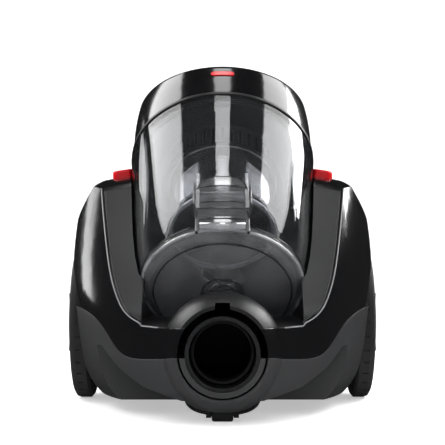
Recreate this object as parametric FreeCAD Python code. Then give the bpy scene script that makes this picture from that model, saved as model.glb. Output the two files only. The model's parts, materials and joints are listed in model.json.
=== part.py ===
"""Canister vacuum cleaner with a clear dust bin lying at a slant in its base.

Millimetres. +Z is up, -Y is the front where the hose plugs in, and X runs from side to side.
The origin is on the floor, under the middle of the machine. Each sub-part goes to parts/NODE.step.
"""

import FreeCAD
import Part

import math
import os

V = FreeCAD.Vector
X_DIR, Y_DIR, Z_DIR = V(1, 0, 0), V(0, 1, 0), V(0, 0, 1)
BIG = 600.0  # longer than anything here, for cutting tools

# Base: plan outlines from the floor pan up. Each is (height, half width, nose Y, rear Y).
OUTLINES = [
    (12.0, 122.0, -172.0, 182.0),
    (24.0, 131.0, -187.0, 188.0),
    (38.0, 137.0, -193.0, 191.0),
    (62.0, 142.0, -194.0, 194.0),
    (90.0, 146.0, -193.0, 195.0),
    (115.0, 148.5, -181.0, 195.0),
    (142.0, 149.0, -160.0, 192.0),
    (173.0, 146.5, -135.0, 186.0),
    (203.0, 142.0, -112.0, 176.0),
    (234.0, 137.0, -88.0, 164.0),
]
OUTLINE_STEPS = 32
REAR_SQUARENESS = 3.0  # 2 is an ellipse
WALL = 3.0
FLOOR_Z, FLOOR_WALL = 12.0, 3.0
# The deck is crowned across, and falls away to the front and to the rear.
DECK_LINE = [(-90, 202), (-38, 213.8), (20, 226), (60, 229), (110, 221), (150, 197), (185, 158), (215, 112)]
DECK_CROWN_R = 650.0
SHOULDER_LOW, SHOULDER_HIGH = (146.5, 172.0), (116.0, 216.0)  # (X, Z) of the slanting side facet
# The line between the satin lower chassis and the gloss upper shell, as (Y, Z).
WAIST_LINE = [
    (-215, 54), (-188, 53.5), (-162, 51.5), (-146, 53), (-134, 59), (-123, 69),
    (-108, 80), (-85, 87.5), (-17, 93), (70, 94), (150, 91), (215, 86),
]
CHIN_HALF = [(0, 17), (34, 18), (66, 28), (88, 42), (106, 60)]  # underside of the nose, as (X, Z)
CHIN_BACK_Y = -96.0

# Wheels.
AXLE_Y, AXLE_Z, AXLE_R = 67.0, 77.0, 5.0
WHEEL_R = 77.0
ARCH_R, ARCH_WALL, ARCH_IN = 81.0, 3.0, 122.0
CASTER_Y, CASTER_TRAIL, ROLLER_R, ROLLER_W = -146.0, 15.0, 11.0, 18.0
CASTER_DOME_R, CASTER_DOME_LOW, CASTER_DOME_HIGH = 32.0, 4.8, 16.4
WELL_TOP = 23.4

# Dust bin: its axis leans back at BIN_TILT from the floor, and starts at the door's middle.
BIN_TILT = 47.0
BIN_Y, BIN_Z = -104.0, 114.0
BIN_LENGTH = 160.0
BIN_WALL = 2.6
BIN_LINE = [(72.5, 0), (76.6, 19), (80.0, 48), (83.2, 93), (85.6, 126), (87.2, 157)]  # (radius, height)
BIN_CLEARANCE = 2.0
LID_LINE = [(86.3, 0.6), (86.9, 22), (86.2, 44), (84.0, 64), (80.5, 84), (74.0, 108)]  # above the bin's rim
LID_TOP, LID_TOP_SLOPE = 234.0, 0.3444  # height on the axis, and rise per mm towards the rear
LID_WALL = 3.0
DOOR_R, DOOR_DEEP, DOOR_EDGE_R = 72.4, 10.0, 9.0
INNER_R, INNER_LOW, INNER_SPLIT, INNER_HIGH = 50.5, 62.0, 128.0, 158.0

# Hose inlet.
INLET_Z, INLET_R, INLET_TUBE_R, COLLAR_R = 57.0, 27.2, 30.6, 35.0
INLET_FACE_Y, INLET_DEPTH, COLLAR_BACK_Y = -196.0, 34.0, -168.0
HUMP_R, HUMP_FRONT_R, HUMP_BACK_Y, HUMP_SHOULDER_Y = 50.5, 39.5, -88.0, -160.0
OPENING_FLOOR, OPENING_BEND_Y = 78.0, -158.0
BAY_R = 70.0

# Motor and cord reel, side by side behind the bin.
MOTOR_X, MOTOR_Z, MOTOR_R, MOTOR_FRONT, MOTOR_BACK = -44.0, 78.0, 50.0, 48.0, 138.0
SHAFT_R, RUNNING_GAP, FACE_GAP = 4.0, 0.05, 0.4
REEL_X, REEL_Y, REEL_Z, REEL_R, REEL_W = 52.0, 102.0, 90.0, 68.0, 38.0

# Rear grille.
GRILLE_HALF, GRILLE_LOW, GRILLE_HIGH = 72.0, 108.0, 166.0

# Pedals.
PEDAL_IN, PEDAL_OUT, PEDAL_FRONT, PEDAL_BACK = 66.0, 109.5, 30.0, 86.0
PEDAL_RISE, PEDAL_GAP, PEDAL_BOTTOM, PEDAL_TRAVEL = 7.5, 0.8, 204.0, 4.0
STEM_X, STEM_R, STEM_BOTTOM, SHELF_TOP, SHELF_THICK = 92.0, 4.0, 184.5, 190.0, 3.0

# Air path: the duct under the bin, and the port that it reaches the bin by.
DUCT_R, DUCT_HALF, DUCT_WALL, DUCT_BEND_Y = 24.0, 29.0, 2.0, -121.0
PORT_R, PORT_HEIGHT = 20.0, 90.0

# Small fixings.
SCREW_SPOTS = [(-95, -60), (95, -60), (-100, 150), (100, 150), (-52, -70), (52, -70)]
SCREW_R, SCREW_HEAD_R, SCREW_TOP = 2.0, 4.0, 30.0
CORD_X, CORD_Z, CORD_BUSH_R, CORD_FACE_Y = 52.0, 60.0, 8.0, 193.2
CASTER_PIN_R, CASTER_PIN_LOW, CASTER_PIN_TOP, EAR_X = 3.5, 14.0, 28.4, 13.6
ROLLER_Y = CASTER_Y - CASTER_TRAIL
TYRE_SEAT_R, TREAD_BLOCKS = 66.0, 36
PLEATS, FILTER_FRONT_Y = 16, 167.5
SHROUD_SLOTS, CONES, RIM_R = 36, 6, 88.4
HINGE_Y, HINGE_PIN_R, HINGE_EAR_X = 80.0, 1.8, 18.0
LATCH_HALF, LATCH_RAIL_X, LATCH_PIN_Y, LATCH_PIN_Z = 19.0, 20.8, 82.5, 28.0
LATCH_PIN_R, CONE_RING_R, PEDAL_CORNER_R = 1.5, 33.0, 7.0
CATCH_HALF, CATCH_LOW, CATCH_HIGH = 6.1, 92.6, 98.5  # slot for the hose end's catch, over the socket
LID_EDGE_R = 9.0
BUTTON_Y, BUTTON_RISE, BUTTON_TILT, BUTTON_TRAVEL, BUTTON_STEM = 66.0, 40.0, -19.5, 3.0, 6.0
HANDLE_HALF = 13.0
HANDLE_OVER = [(4, 3), (16, 17), (34, 29), (56, 40), (78, 42), (96, 31), (114, 3)]  # (Y, rise over the cap)
HANDLE_UNDER = [(98, 3), (86, 22), (70, 28), (50, 26), (34, 15), (24, 3)]
STEM_Y = (PEDAL_FRONT + PEDAL_BACK) / 2
SHELF_LOW = SHELF_TOP - SHELF_THICK
BRAKE_Y, BRAKE_Z = STEM_Y + 18.0, 180.6
SPRING_R, SPRING_WIRE, SPRING_TURNS = 6.5, 0.7, 5

BIN_FRAME = FreeCAD.Placement(V(0, BIN_Y, BIN_Z), FreeCAD.Rotation(X_DIR, BIN_TILT - 90.0))


# ---------------------------------------------------------------- helpers

def box(low, high):
    """A block between two corners."""
    return Part.makeBox(high[0] - low[0], high[1] - low[1], high[2] - low[2], V(*low))


def rod(radius, start, end):
    """A round bar between two points."""
    start, end = V(*start), V(*end)
    return Part.makeCylinder(radius, (end - start).Length, start, end - start)


def tube(outer, inner, start, end):
    """A round pipe between two points."""
    return rod(outer, start, end).cut(rod(inner, start, end))


def spline(points):
    """A smooth edge through points."""
    curve = Part.BSplineCurve()
    curve.interpolate([V(*p) for p in points])
    return curve.toShape()


def polygon(points):
    """A flat face with straight sides."""
    points = [V(*p) for p in points]
    return Part.Face(Part.makePolygon(points + points[:1]))


def turned(outline, smooth=()):
    """A solid of revolution about Z. outline is (radius, height) points in order, closed along the
    axis; the stretches that smooth names, as (first, last) indexes, are one spline each."""
    points = [(r, 0, z) for r, z in outline]
    edges, i = [], 0
    while i < len(points):
        stretch = next((s for s in smooth if s[0] == i), None)
        if stretch:
            edges.append(spline(points[i:stretch[1] + 1]))
            i = stretch[1]
            if i == len(points) - 1:
                break
        a, b = V(*points[i]), V(*points[(i + 1) % len(points)])
        if (a - b).Length > 1e-6:
            edges.append(Part.makeLine(a, b))
        i += 1
    last, first = V(*points[-1]), V(*points[0])
    wire = Part.Wire(edges)
    if not wire.isClosed():
        wire = Part.Wire(edges + [Part.makeLine(last, first)])
    return Part.Face(wire).revolve(V(0, 0, 0), Z_DIR, 360)


def round_line(line, offset=0.0):
    """A lathe outline: line's (radius, height) points moved in by offset, closed on the axis."""
    points = [(r - offset, z) for r, z in line]
    return [(0, points[0][1])] + points + [(0, points[-1][1])]


def in_bin(shape):
    """Carries a shape from the bin's own frame, where Z is its axis and -Y its upper side."""
    moved = shape.copy()
    moved.Placement = BIN_FRAME.multiply(moved.Placement)
    return moved


def mirrored(shape):
    """The same piece on the other side of the machine."""
    return shape.mirror(V(0, 0, 0), X_DIR)


def rounded(shape, radius, wanted):
    """shape with a fillet on each edge that wanted(edge) picks, or as it was if that fails."""
    edges = [e for e in shape.Edges if wanted(e)]
    if not edges:
        return shape
    try:
        done = shape.makeFillet(radius, edges)
    except Part.OCCError:
        return shape
    return done if done.isValid() and done.Volume > 0 else shape


def middle(edge):
    """The point half way along an edge."""
    return edge.valueAt((edge.FirstParameter + edge.LastParameter) / 2)


def runs_along(edge, direction):
    """True for an edge that starts out along a direction, either way."""
    return abs(edge.tangentAt(edge.FirstParameter).dot(direction)) > 0.9


def save(name, shape):
    """Writes one node."""
    solids = shape.Solids
    if not solids or not shape.isValid():
        raise ValueError(f"{name} is not a valid solid")
    shape.exportStep(f"parts/{name}.step")


# ---------------------------------------------------------------- the base's outer form

def outline_wire(z, half_width, nose_y, rear_y, inset):
    """One level of the base's outer form: a half ellipse in front, squarer behind."""
    points = []
    for i in range(OUTLINE_STEPS):
        turn = 2 * math.pi * i / OUTLINE_STEPS
        ahead, side = math.cos(turn), math.sin(turn)
        if ahead >= 0:
            x = (half_width - inset) * side
            y = AXLE_Y - (AXLE_Y - nose_y - inset) * ahead
        else:
            power = 2 / REAR_SQUARENESS
            x = (half_width - inset) * math.copysign(abs(side) ** power, side)
            y = AXLE_Y + (rear_y - AXLE_Y - inset) * (-ahead) ** power
        points.append(V(x, y, z))
    curve = Part.BSplineCurve()
    curve.interpolate(Points=points, PeriodicFlag=True)
    return Part.Wire(curve.toShape())


def deck_tool(drop):
    """Everything above the deck, lowered by drop."""
    grid = [
        [V(x, y, z - drop - x * x / (2 * DECK_CROWN_R)) for y, z in DECK_LINE]
        for x in (-180, -120, -60, 0, 60, 120, 180)
    ]
    surface = Part.BSplineSurface()
    surface.interpolate(grid)
    return surface.toShape().extrude(V(0, 0, 300))


def facet_tool(inset):
    """Everything outside the slanting facet of the left shoulder, moved in by inset."""
    (x0, z0), (x1, z1) = SHOULDER_LOW, SHOULDER_HIGH
    run = math.hypot(x1 - x0, z1 - z0)
    nx, nz = (z1 - z0) / run * inset, (x0 - x1) / run * inset
    steep = (z1 - z0) / (x1 - x0)
    low, high = (x0 + 12, z0 + 12 * steep), (x1 - 24, z1 - 24 * steep)
    face = polygon([
        (low[0] - nx, -BIG, low[1] - nz), (high[0] - nx, -BIG, high[1] - nz),
        (260, -BIG, high[1]), (260, -BIG, low[1]),
    ])
    return face.extrude(V(0, 2 * BIG, 0))


def side_profile(line, top):
    """A solid as wide as the machine, above a line given as (Y, Z) points."""
    edge = spline([(-BIG, y, z) for y, z in line])
    (y0, z0), (y1, z1) = line[0], line[-1]
    rest = Part.makePolygon([V(-BIG, y1, z1), V(-BIG, y1, top), V(-BIG, y0, top), V(-BIG, y0, z0)])
    return Part.Face(Part.Wire([edge] + rest.Edges)).extrude(V(2 * BIG, 0, 0))


def body_form(inset):
    """The whole base as one solid block, with its skin moved in by inset."""
    wires = [outline_wire(*level, inset) for level in OUTLINES]
    block = Part.makeLoft(wires, True, False)
    facet = facet_tool(inset)
    return block.cut(deck_tool(inset)).cut(facet).cut(mirrored(facet))


def opening_tool(drop):
    """Everything above the slanting mouth of the base, lowered by drop square to the slope."""
    slope = math.radians(BIN_TILT)
    along = V(0, math.cos(slope), math.sin(slope))
    down = V(0, math.sin(slope), -math.cos(slope)) * drop
    bend = V(-BIG, OPENING_BEND_Y, OPENING_FLOOR)
    setback = 26.0
    flat_start = bend - V(0, setback, 0) - V(0, 0, drop)
    flat_mid = bend + V(0, 0.2 * setback, 0) + (down - V(0, 0, drop)) * 0.5
    ramp_start = bend + along * setback + down
    curve = Part.BezierCurve()
    curve.setPoles([flat_start, V(-BIG, bend.y, bend.z - drop) + V(0, 0.35 * drop, 0), ramp_start])
    ramp_end = bend + along * 260 + down
    edges = [
        Part.makeLine(V(-BIG, -BIG, bend.z - drop), flat_start),
        curve.toShape(),
        Part.makeLine(ramp_start, ramp_end),
        Part.makeLine(ramp_end, V(-BIG, ramp_end.y, BIG)),
        Part.makeLine(V(-BIG, ramp_end.y, BIG), V(-BIG, -BIG, BIG)),
        Part.makeLine(V(-BIG, -BIG, BIG), V(-BIG, -BIG, bend.z - drop)),
    ]
    return Part.Face(Part.Wire(edges)).extrude(V(2 * BIG, 0, 0))


def pocket_tool(clearance):
    """The room the bin needs, and the way straight up out of it."""
    line = [
        (64, -DOOR_DEEP - 2), (DOOR_R, -2), (76.6, 19), (80.0, 48), (83.2, 93), (85.6, 126),
        (88.6, 158), (88.6, 230), (84.0, 262),
    ]
    line = [(r + clearance, z) for r, z in line]
    line[0] = (line[0][0], line[0][1] - clearance)
    form = turned(round_line(line))
    half = polygon([(r, 0, z) for r, z in line] + [(-r, 0, z) for r, z in reversed(line)])
    chimney = in_bin(half).extrude(V(0, 0, 320))
    return in_bin(form).fuse(chimney)


def bay_tool(clearance):
    """The hollow in front of the bin's door: the bin's round form carried on, above a sloping floor."""
    form = in_bin(rod(BAY_R + clearance, (0, 0, -95), (0, 0, 8)))
    floor = polygon([
        (-BIG, -260, OPENING_FLOOR - 7 - clearance), (-BIG, -60, OPENING_FLOOR + 10 - clearance),
        (-BIG, -60, 300), (-BIG, -260, 300),
    ]).extrude(V(2 * BIG, 0, 0))
    return form.common(floor)


def chin_tool(raised):
    """The room under the nose, in front of the floor pan, with its ceiling moved up by raised."""
    right = [(x, -BIG, z + raised) for x, z in CHIN_HALF]
    left = [(-x, y, z) for x, y, z in reversed(right[1:])]
    end_z = right[-1][2]
    rest = [(200, -BIG, end_z), (200, -BIG, -20), (-200, -BIG, -20), (-200, -BIG, end_z)]
    return polygon(left + right + rest).extrude(V(0, BIG + CHIN_BACK_Y + raised, 0))


def arch_tool(grow):
    """The two round wheel arches, with their walls moved out by grow."""
    right = rod(ARCH_R + grow, (ARCH_IN - grow, AXLE_Y, AXLE_Z), (200, AXLE_Y, AXLE_Z))
    return right.fuse(mirrored(right))


def hump_form(inset):
    """The raised cowl over the hose inlet, a blunt cone about the inlet's axis."""
    outline = [
        (HUMP_FRONT_R - inset, INLET_FACE_Y + 2), (HUMP_R - 4 - inset, INLET_FACE_Y + 13),
        (HUMP_R - inset, HUMP_SHOULDER_Y), (HUMP_R - inset, HUMP_BACK_Y),
    ]
    form = turned(round_line(outline), smooth=[(1, 3)])
    form.rotate(V(0, 0, 0), X_DIR, -90)
    form.translate(V(0, 0, INLET_Z))
    return form


def caster_well(grow):
    """The shallow round well that the caster turns in."""
    return rod(CASTER_DOME_R + 1.2 + grow, (0, CASTER_Y, -5), (0, CASTER_Y, WELL_TOP + 0.7 * grow))


def hinge_slot(grow):
    """A notch in the cradle for the hinge of the bin's door, open upwards."""
    notch = in_bin(box((-25 - grow, 60, -10 - grow), (25 + grow, 86 + grow, 14)))
    return notch.fuse(notch.translated(V(0, 0, 30)))


# ---------------------------------------------------------------- the base's mouldings

def base_solid():
    """The base with its hollows for the bin, wheels and caster, but solid inside."""
    block = body_form(0).cut(arch_tool(0)).cut(chin_tool(0))
    block = block.cut(opening_tool(0)).cut(bay_tool(0))
    block = block.fuse(hump_form(0))
    block = block.fuse(rod(COLLAR_R, (0, INLET_FACE_Y, INLET_Z), (0, COLLAR_BACK_Y, INLET_Z)))
    return block.cut(pocket_tool(BIN_CLEARANCE)).cut(caster_well(0)).cut(hinge_slot(0))


def base_hollow():
    """The room inside the base's walls."""
    room = body_form(WALL).cut(box((-BIG, -BIG, -BIG), (BIG, BIG, FLOOR_Z + FLOOR_WALL)))
    room = room.cut(arch_tool(ARCH_WALL)).cut(chin_tool(WALL))
    room = room.cut(opening_tool(WALL)).cut(bay_tool(WALL))
    room = room.fuse(hump_form(WALL))
    room = room.cut(rod(COLLAR_R, (0, INLET_FACE_Y - 5, INLET_Z), (0, COLLAR_BACK_Y, INLET_Z)))
    room = room.cut(pocket_tool(BIN_CLEARANCE + WALL)).cut(caster_well(WALL))
    return room.cut(hinge_slot(WALL))


def liner_tool(grow):
    """All the hollows that the bin cradle lines."""
    tool = opening_tool(grow).fuse(pocket_tool(BIN_CLEARANCE + grow))
    return tool.fuse(bay_tool(grow)).fuse(hinge_slot(grow))


def grille_window(gap):
    """The opening in the rear wall, made smaller by gap."""
    side, low, high = GRILLE_HALF - gap, GRILLE_LOW + gap, GRILLE_HIGH - gap
    window = box((-side, 140, low), (side, 230, high))
    return rounded(window, 8.0, lambda e: runs_along(e, Y_DIR))


def pedal_column(gap, low, high):
    """The upright block that a right-hand pedal is cut from, made bigger by gap."""
    block = box((PEDAL_IN - 10, PEDAL_FRONT - gap, low), (PEDAL_OUT + gap, PEDAL_BACK + gap, high))
    return rounded(block, PEDAL_CORNER_R, lambda e: runs_along(e, Z_DIR) and middle(e).x > PEDAL_IN)


def base_mouldings():
    """The gloss upper shell, the satin lower chassis and the bin cradle between them."""
    walls = base_solid().cut(base_hollow())
    inside = body_form(WALL)
    collar = rod(COLLAR_R, (0, INLET_FACE_Y, INLET_Z), (0, COLLAR_BACK_Y, INLET_Z))
    cradle = inside.common(liner_tool(WALL)).cut(liner_tool(0)).cut(hump_form(0)).cut(collar)
    cradle = max(cradle.Solids, key=lambda s: s.Volume)
    skin = walls.cut(cradle)
    cowl_room = opening_tool(0).fuse(opening_tool(WALL).common(inside))
    cowl = skin.common(cowl_room).common(hump_form(0)).cut(collar)
    skin = skin.cut(cowl)
    cradle = max(cradle.fuse(cowl).Solids, key=lambda s: s.Volume)
    above = side_profile(WAIST_LINE, 400)
    upper, lower = skin.common(above), skin.cut(above)
    sleeve_hole = rod(INLET_TUBE_R, (0, -260, INLET_Z), (0, COLLAR_BACK_Y + 2, INLET_Z))
    upper = upper.cut(sleeve_hole).cut(grille_window(0))
    hole = pedal_column(PEDAL_GAP, PEDAL_BOTTOM - 30, 300)
    upper = upper.cut(hole).cut(mirrored(hole))
    upper = max(upper.Solids, key=lambda s: s.Volume)
    lower = max(lower.cut(sleeve_hole).Solids, key=lambda s: s.Volume)
    return upper, finish_chassis(lower), finish_cradle(cradle)


def port_axis(start, end):
    """Two points on the air port's axis, given by their distances from the bin's axis."""
    return [tuple(BIN_FRAME.multVec(V(0, r, PORT_HEIGHT))) for r in (start, end)]


def finish_cradle(cradle):
    """Cuts the round air port, and the slot over the socket that the hose end's catch drops into."""
    cradle = cradle.cut(rod(PORT_R, *port_axis(60, 110)))
    low = (-CATCH_HALF, INLET_FACE_Y - 5, CATCH_LOW)
    return cradle.cut(box(low, (CATCH_HALF, INLET_FACE_Y + 9, CATCH_HIGH)))


def finish_chassis(chassis):
    """Adds what the floor pan carries: axle bosses, the caster's boss, and holes for fixings."""
    for side in (-1, 1):
        inner_face = side * (ARCH_IN - ARCH_WALL)
        boss = rod(AXLE_R + 5, (inner_face - side * 14, AXLE_Y, AXLE_Z), (inner_face, AXLE_Y, AXLE_Z))
        chassis = chassis.fuse(boss)
    chassis = chassis.fuse(rod(9, (0, CASTER_Y, WELL_TOP), (0, CASTER_Y, CASTER_PIN_TOP + 0.4)))
    chassis = chassis.cut(rod(AXLE_R, (-200, AXLE_Y, AXLE_Z), (200, AXLE_Y, AXLE_Z)))
    chassis = chassis.cut(rod(CASTER_PIN_R + RUNNING_GAP, (0, CASTER_Y, 0), (0, CASTER_Y, 60)))
    for x, y in SCREW_SPOTS:
        chassis = chassis.fuse(rod(5, (x, y, FLOOR_Z + 1), (x, y, SCREW_TOP + 3)))
        chassis = chassis.cut(rod(SCREW_HEAD_R + 0.3, (x, y, 0), (x, y, FLOOR_Z + 2.4)))
        chassis = chassis.cut(rod(SCREW_R, (x, y, 0), (x, y, SCREW_TOP + 0.5)))
    bush = rod(CORD_BUSH_R, (CORD_X, 150, CORD_Z), (CORD_X, 230, CORD_Z))
    return chassis.cut(bush)


def chassis_screws():
    """The screws that hold the floor pan."""
    screws = []
    for x, y in SCREW_SPOTS:
        head = rod(SCREW_HEAD_R, (x, y, FLOOR_Z + 0.4), (x, y, FLOOR_Z + 2.4))
        shank = rod(SCREW_R, (x, y, FLOOR_Z + 2.4), (x, y, SCREW_TOP))
        slot = box((x - 3, y - 0.5, FLOOR_Z), (x + 3, y + 0.5, FLOOR_Z + 1.3))
        cross = box((x - 0.5, y - 3, FLOOR_Z), (x + 0.5, y + 3, FLOOR_Z + 1.3))
        screws.append(head.fuse(shank).cut(slot).cut(cross))
    return Part.makeCompound(screws)


# ---------------------------------------------------------------- air path in the base

def inlet_sleeve():
    """The socket that takes the hose's end."""
    back_y = INLET_FACE_Y + INLET_DEPTH
    return tube(INLET_TUBE_R, INLET_R, (0, INLET_FACE_Y + 1, INLET_Z), (0, back_y, INLET_Z))


def duct_form(wall):
    """The air duct's outside (wall 2) or inside (wall 0), from the socket to the bin's port."""
    start_y = INLET_FACE_Y + INLET_DEPTH
    run = rod(DUCT_R + wall, (0, start_y - 1 + wall / 2, INLET_Z), (0, DUCT_BEND_Y, INLET_Z))
    side = [
        (-125 - wall, 84 + wall), (-118, 84 + wall), (-66, 39 + wall), (-8, 39 + wall),
        (-8, 19.5 - wall), (-82, 19.5 - wall), (-89, 26 - wall), (-125 - wall, 29.5 - wall),
    ]
    throat = polygon([(-DUCT_HALF - wall, y, z) for y, z in side]).extrude(V(2 * (DUCT_HALF + wall), 0, 0))
    riser = box((-22 - wall, -16 - wall, 25), (22 + wall, 14 + wall, 150))
    return run.fuse(throat).fuse(riser)


def inlet_duct():
    """The duct that carries air under the bin and up to its port."""
    duct = duct_form(DUCT_WALL).cut(duct_form(0)).cut(pocket_tool(BIN_CLEARANCE + WALL))
    return max(duct.Solids, key=lambda s: s.Volume)


def port_seal():
    """A soft ring round the air port, between cradle and bin."""
    ring = tube(PORT_R + 4, PORT_R, *port_axis(60, 110))
    return ring.common(pocket_tool(BIN_CLEARANCE)).cut(pocket_tool(0.5))


# ---------------------------------------------------------------- motor, filter and reel

def motor_rod(radius, y0, y1):
    """A bar on the motor's axis."""
    return rod(radius, (MOTOR_X, y0, MOTOR_Z), (MOTOR_X, y1, MOTOR_Z))


def motor_housing():
    """The motor's can, with an air eye in front and vents behind."""
    can = motor_rod(MOTOR_R, MOTOR_FRONT, MOTOR_BACK)
    can = can.cut(motor_rod(MOTOR_R - 3, MOTOR_FRONT + 3, MOTOR_BACK - 3))
    can = can.cut(motor_rod(18, MOTOR_FRONT - 1, MOTOR_FRONT + 4))
    can = can.cut(motor_rod(SHAFT_R + RUNNING_GAP, MOTOR_BACK - 5, MOTOR_BACK + 1))
    for i in range(8):
        vent = motor_rod(6, MOTOR_BACK - 5, MOTOR_BACK + 1)
        vent.translate(V(30, 0, 0))
        vent.rotate(V(MOTOR_X, 0, MOTOR_Z), Y_DIR, 45 * i)
        can = can.cut(vent)
    return can


def motor_stator():
    """The laminated ring and windings round the armature."""
    ring = tube_y(MOTOR_R - 3.1, 27, MOTOR_FRONT + 28, MOTOR_BACK - 30)
    for side in (-1, 1):
        flat = box((MOTOR_X + side * 48 - 12, 0, MOTOR_Z - 60), (MOTOR_X + side * 48 + 12, 200, MOTOR_Z + 60))
        ring = ring.cut(flat)
    return ring


def tube_y(outer, inner, y0, y1):
    """A ring on the motor's axis."""
    return motor_rod(outer, y0, y1).cut(motor_rod(inner, y0 - 1, y1 + 1))


def motor_armature():
    """The shaft with its wound core and commutator."""
    shaft = motor_rod(SHAFT_R, MOTOR_FRONT + 6, MOTOR_BACK + 2)
    core = motor_rod(25, MOTOR_FRONT + 30, MOTOR_BACK - 34)
    commutator = motor_rod(11, MOTOR_BACK - 26, MOTOR_BACK - 14)
    return shaft.fuse(core).fuse(commutator)


def motor_fan():
    """The suction fan: two discs with curved blades between them."""
    y0, y1 = MOTOR_FRONT + 7, MOTOR_FRONT + 20
    fan = tube_y(44, SHAFT_R, y1 - 1.5, y1).fuse(tube_y(44, 20, y0, y0 + 1.5))
    fan = fan.fuse(tube_y(8, SHAFT_R, y0 + 2, y1 - 1))
    blade = Part.makeBox(36, y1 - y0 - 2, 1.2, V(MOTOR_X + 7, y0 + 1, MOTOR_Z))
    for i in range(9):
        turned_blade = blade.copy()
        turned_blade.rotate(V(MOTOR_X, 0, MOTOR_Z), Y_DIR, 40 * i)
        fan = fan.fuse(turned_blade)
    return fan.cut(motor_rod(SHAFT_R, 0, 200)).common(motor_rod(44, y0, y1))


def motor_mounts():
    """Two rubber rings that carry the motor."""
    rings = [tube_y(MOTOR_R + 6, MOTOR_R + 0.1, y, y + 8) for y in (MOTOR_FRONT + 6, MOTOR_BACK - 14)]
    return Part.makeCompound(rings)


def motor_saddles():
    """Two upright plates on the floor pan that hold the rubber rings."""
    saddles = []
    for y in (MOTOR_FRONT + 6, MOTOR_BACK - 14):
        plate = box((MOTOR_X - 62, y, FLOOR_Z + FLOOR_WALL), (MOTOR_X + 58, y + 8, MOTOR_Z - 20))
        saddles.append(plate.cut(motor_rod(MOTOR_R + 6.2, 0, 200)))
    return Part.makeCompound(saddles)


def exhaust_filter():
    """A pleated pad in a frame, behind the rear grille."""
    low, high, side = GRILLE_LOW + 4, GRILLE_HIGH - 8, GRILLE_HALF - 6
    front, back, edge = FILTER_FRONT_Y, FILTER_FRONT_Y + 12, 4
    frame = box((-side, front, low), (side, back, high))
    frame = frame.cut(box((-side + edge, front - 5, low + edge), (side - edge, back + 5, high - edge)))
    pleats = []
    pitch = 2 * (side - edge) / PLEATS
    for i in range(PLEATS):
        a = -side + edge + i * pitch
        pleats.append(box((a, front + 1, low + edge), (a + pitch / 2, back - 1, high - edge)))
        pleats.append(box((a + pitch / 2, front + 1, low + edge), (a + pitch, front + 4, high - edge)))
    return frame.multiFuse(pleats)


def exhaust_grille(skin_block):
    """The louvred cover on the rear wall."""
    cover = skin_block.common(grille_window(0.8))
    cover = max(cover.Solids, key=lambda s: s.Volume)
    half = GRILLE_HALF - 8
    z = GRILLE_LOW + 7
    while z < GRILLE_HIGH - 8:
        cover = cover.cut(box((-half, 140, z), (half, 230, z + 2.4)))
        z += 5.6
    for x in (-GRILLE_HALF / 3, GRILLE_HALF / 3):
        rib = box((x - 1.5, 160, GRILLE_LOW + 5), (x + 1.5, 230, GRILLE_HIGH - 5))
        cover = cover.fuse(skin_block.common(rib))
    return cover


def reel_rod(radius, x0, x1):
    """A bar on the cord reel's axis."""
    return rod(radius, (x0, REEL_Y, REEL_Z), (x1, REEL_Y, REEL_Z))


def cord_drum():
    """The drum that the mains lead winds on."""
    x0, x1 = REEL_X - REEL_W / 2, REEL_X + REEL_W / 2
    drum = reel_rod(REEL_R, x0, x0 + 2).fuse(reel_rod(REEL_R, x1 - 2, x1))
    drum = drum.fuse(reel_rod(28, x0, x1)).cut(reel_rod(24, x0 - 1, x1 - 3))
    return drum.cut(reel_rod(5 + RUNNING_GAP, x0 - 1, x1 + 1))


def reel_spring():
    """The case of the flat spring that winds the lead in."""
    x0 = REEL_X - REEL_W / 2
    return reel_rod(23, x0 + 4, x0 + 24).cut(reel_rod(5, 0, 200))


def reel_frame():
    """A plate on the floor pan with the reel's spindle."""
    x0, x1 = REEL_X - REEL_W / 2 - 5, REEL_X + REEL_W / 2 + 2
    plate = box((x1, REEL_Y - 40, FLOOR_Z + FLOOR_WALL), (x1 + 4, REEL_Y + 40, REEL_Z + 18))
    plate = rounded(plate, 16, lambda e: runs_along(e, X_DIR) and middle(e).z > 60)
    return plate.fuse(reel_rod(5, x0, x1 + 2))


def brake_arm():
    """The lever that lifts the brake shoe off the drum."""
    arm = box((STEM_X - 5, BRAKE_Y - 21, BRAKE_Z - 3), (STEM_X + 5, BRAKE_Y + 22, BRAKE_Z + 3))
    arm = arm.fuse(rod(5, (STEM_X - 5, BRAKE_Y, BRAKE_Z), (STEM_X + 5, BRAKE_Y, BRAKE_Z)))
    arm = arm.fuse(box((REEL_X + 16.5, BRAKE_Y + 16, BRAKE_Z - 3), (STEM_X, BRAKE_Y + 22, BRAKE_Z + 3)))
    shoe_low = REEL_Z + REEL_R + 0.6
    arm = arm.fuse(box((REEL_X + 16.5, BRAKE_Y + 16, shoe_low), (REEL_X + 20, BRAKE_Y + 22, BRAKE_Z)))
    return arm.cut(rod(2 + RUNNING_GAP, (0, BRAKE_Y, BRAKE_Z), (200, BRAKE_Y, BRAKE_Z)))


def brake_bracket():
    """Two ears with the brake lever's pin, on the side of the bin cradle's shelf."""
    ears = []
    for x in (STEM_X - 8, STEM_X + 8):
        ears.append(box((x - 2, BRAKE_Y - 5, BRAKE_Z - 5), (x + 2, BRAKE_Y + 5, SHELF_LOW)))
    pin = rod(2, (STEM_X - 10, BRAKE_Y, BRAKE_Z), (STEM_X + 10, BRAKE_Y, BRAKE_Z))
    return pin.multiFuse(ears)


# ---------------------------------------------------------------- pedals and electrics

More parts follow.
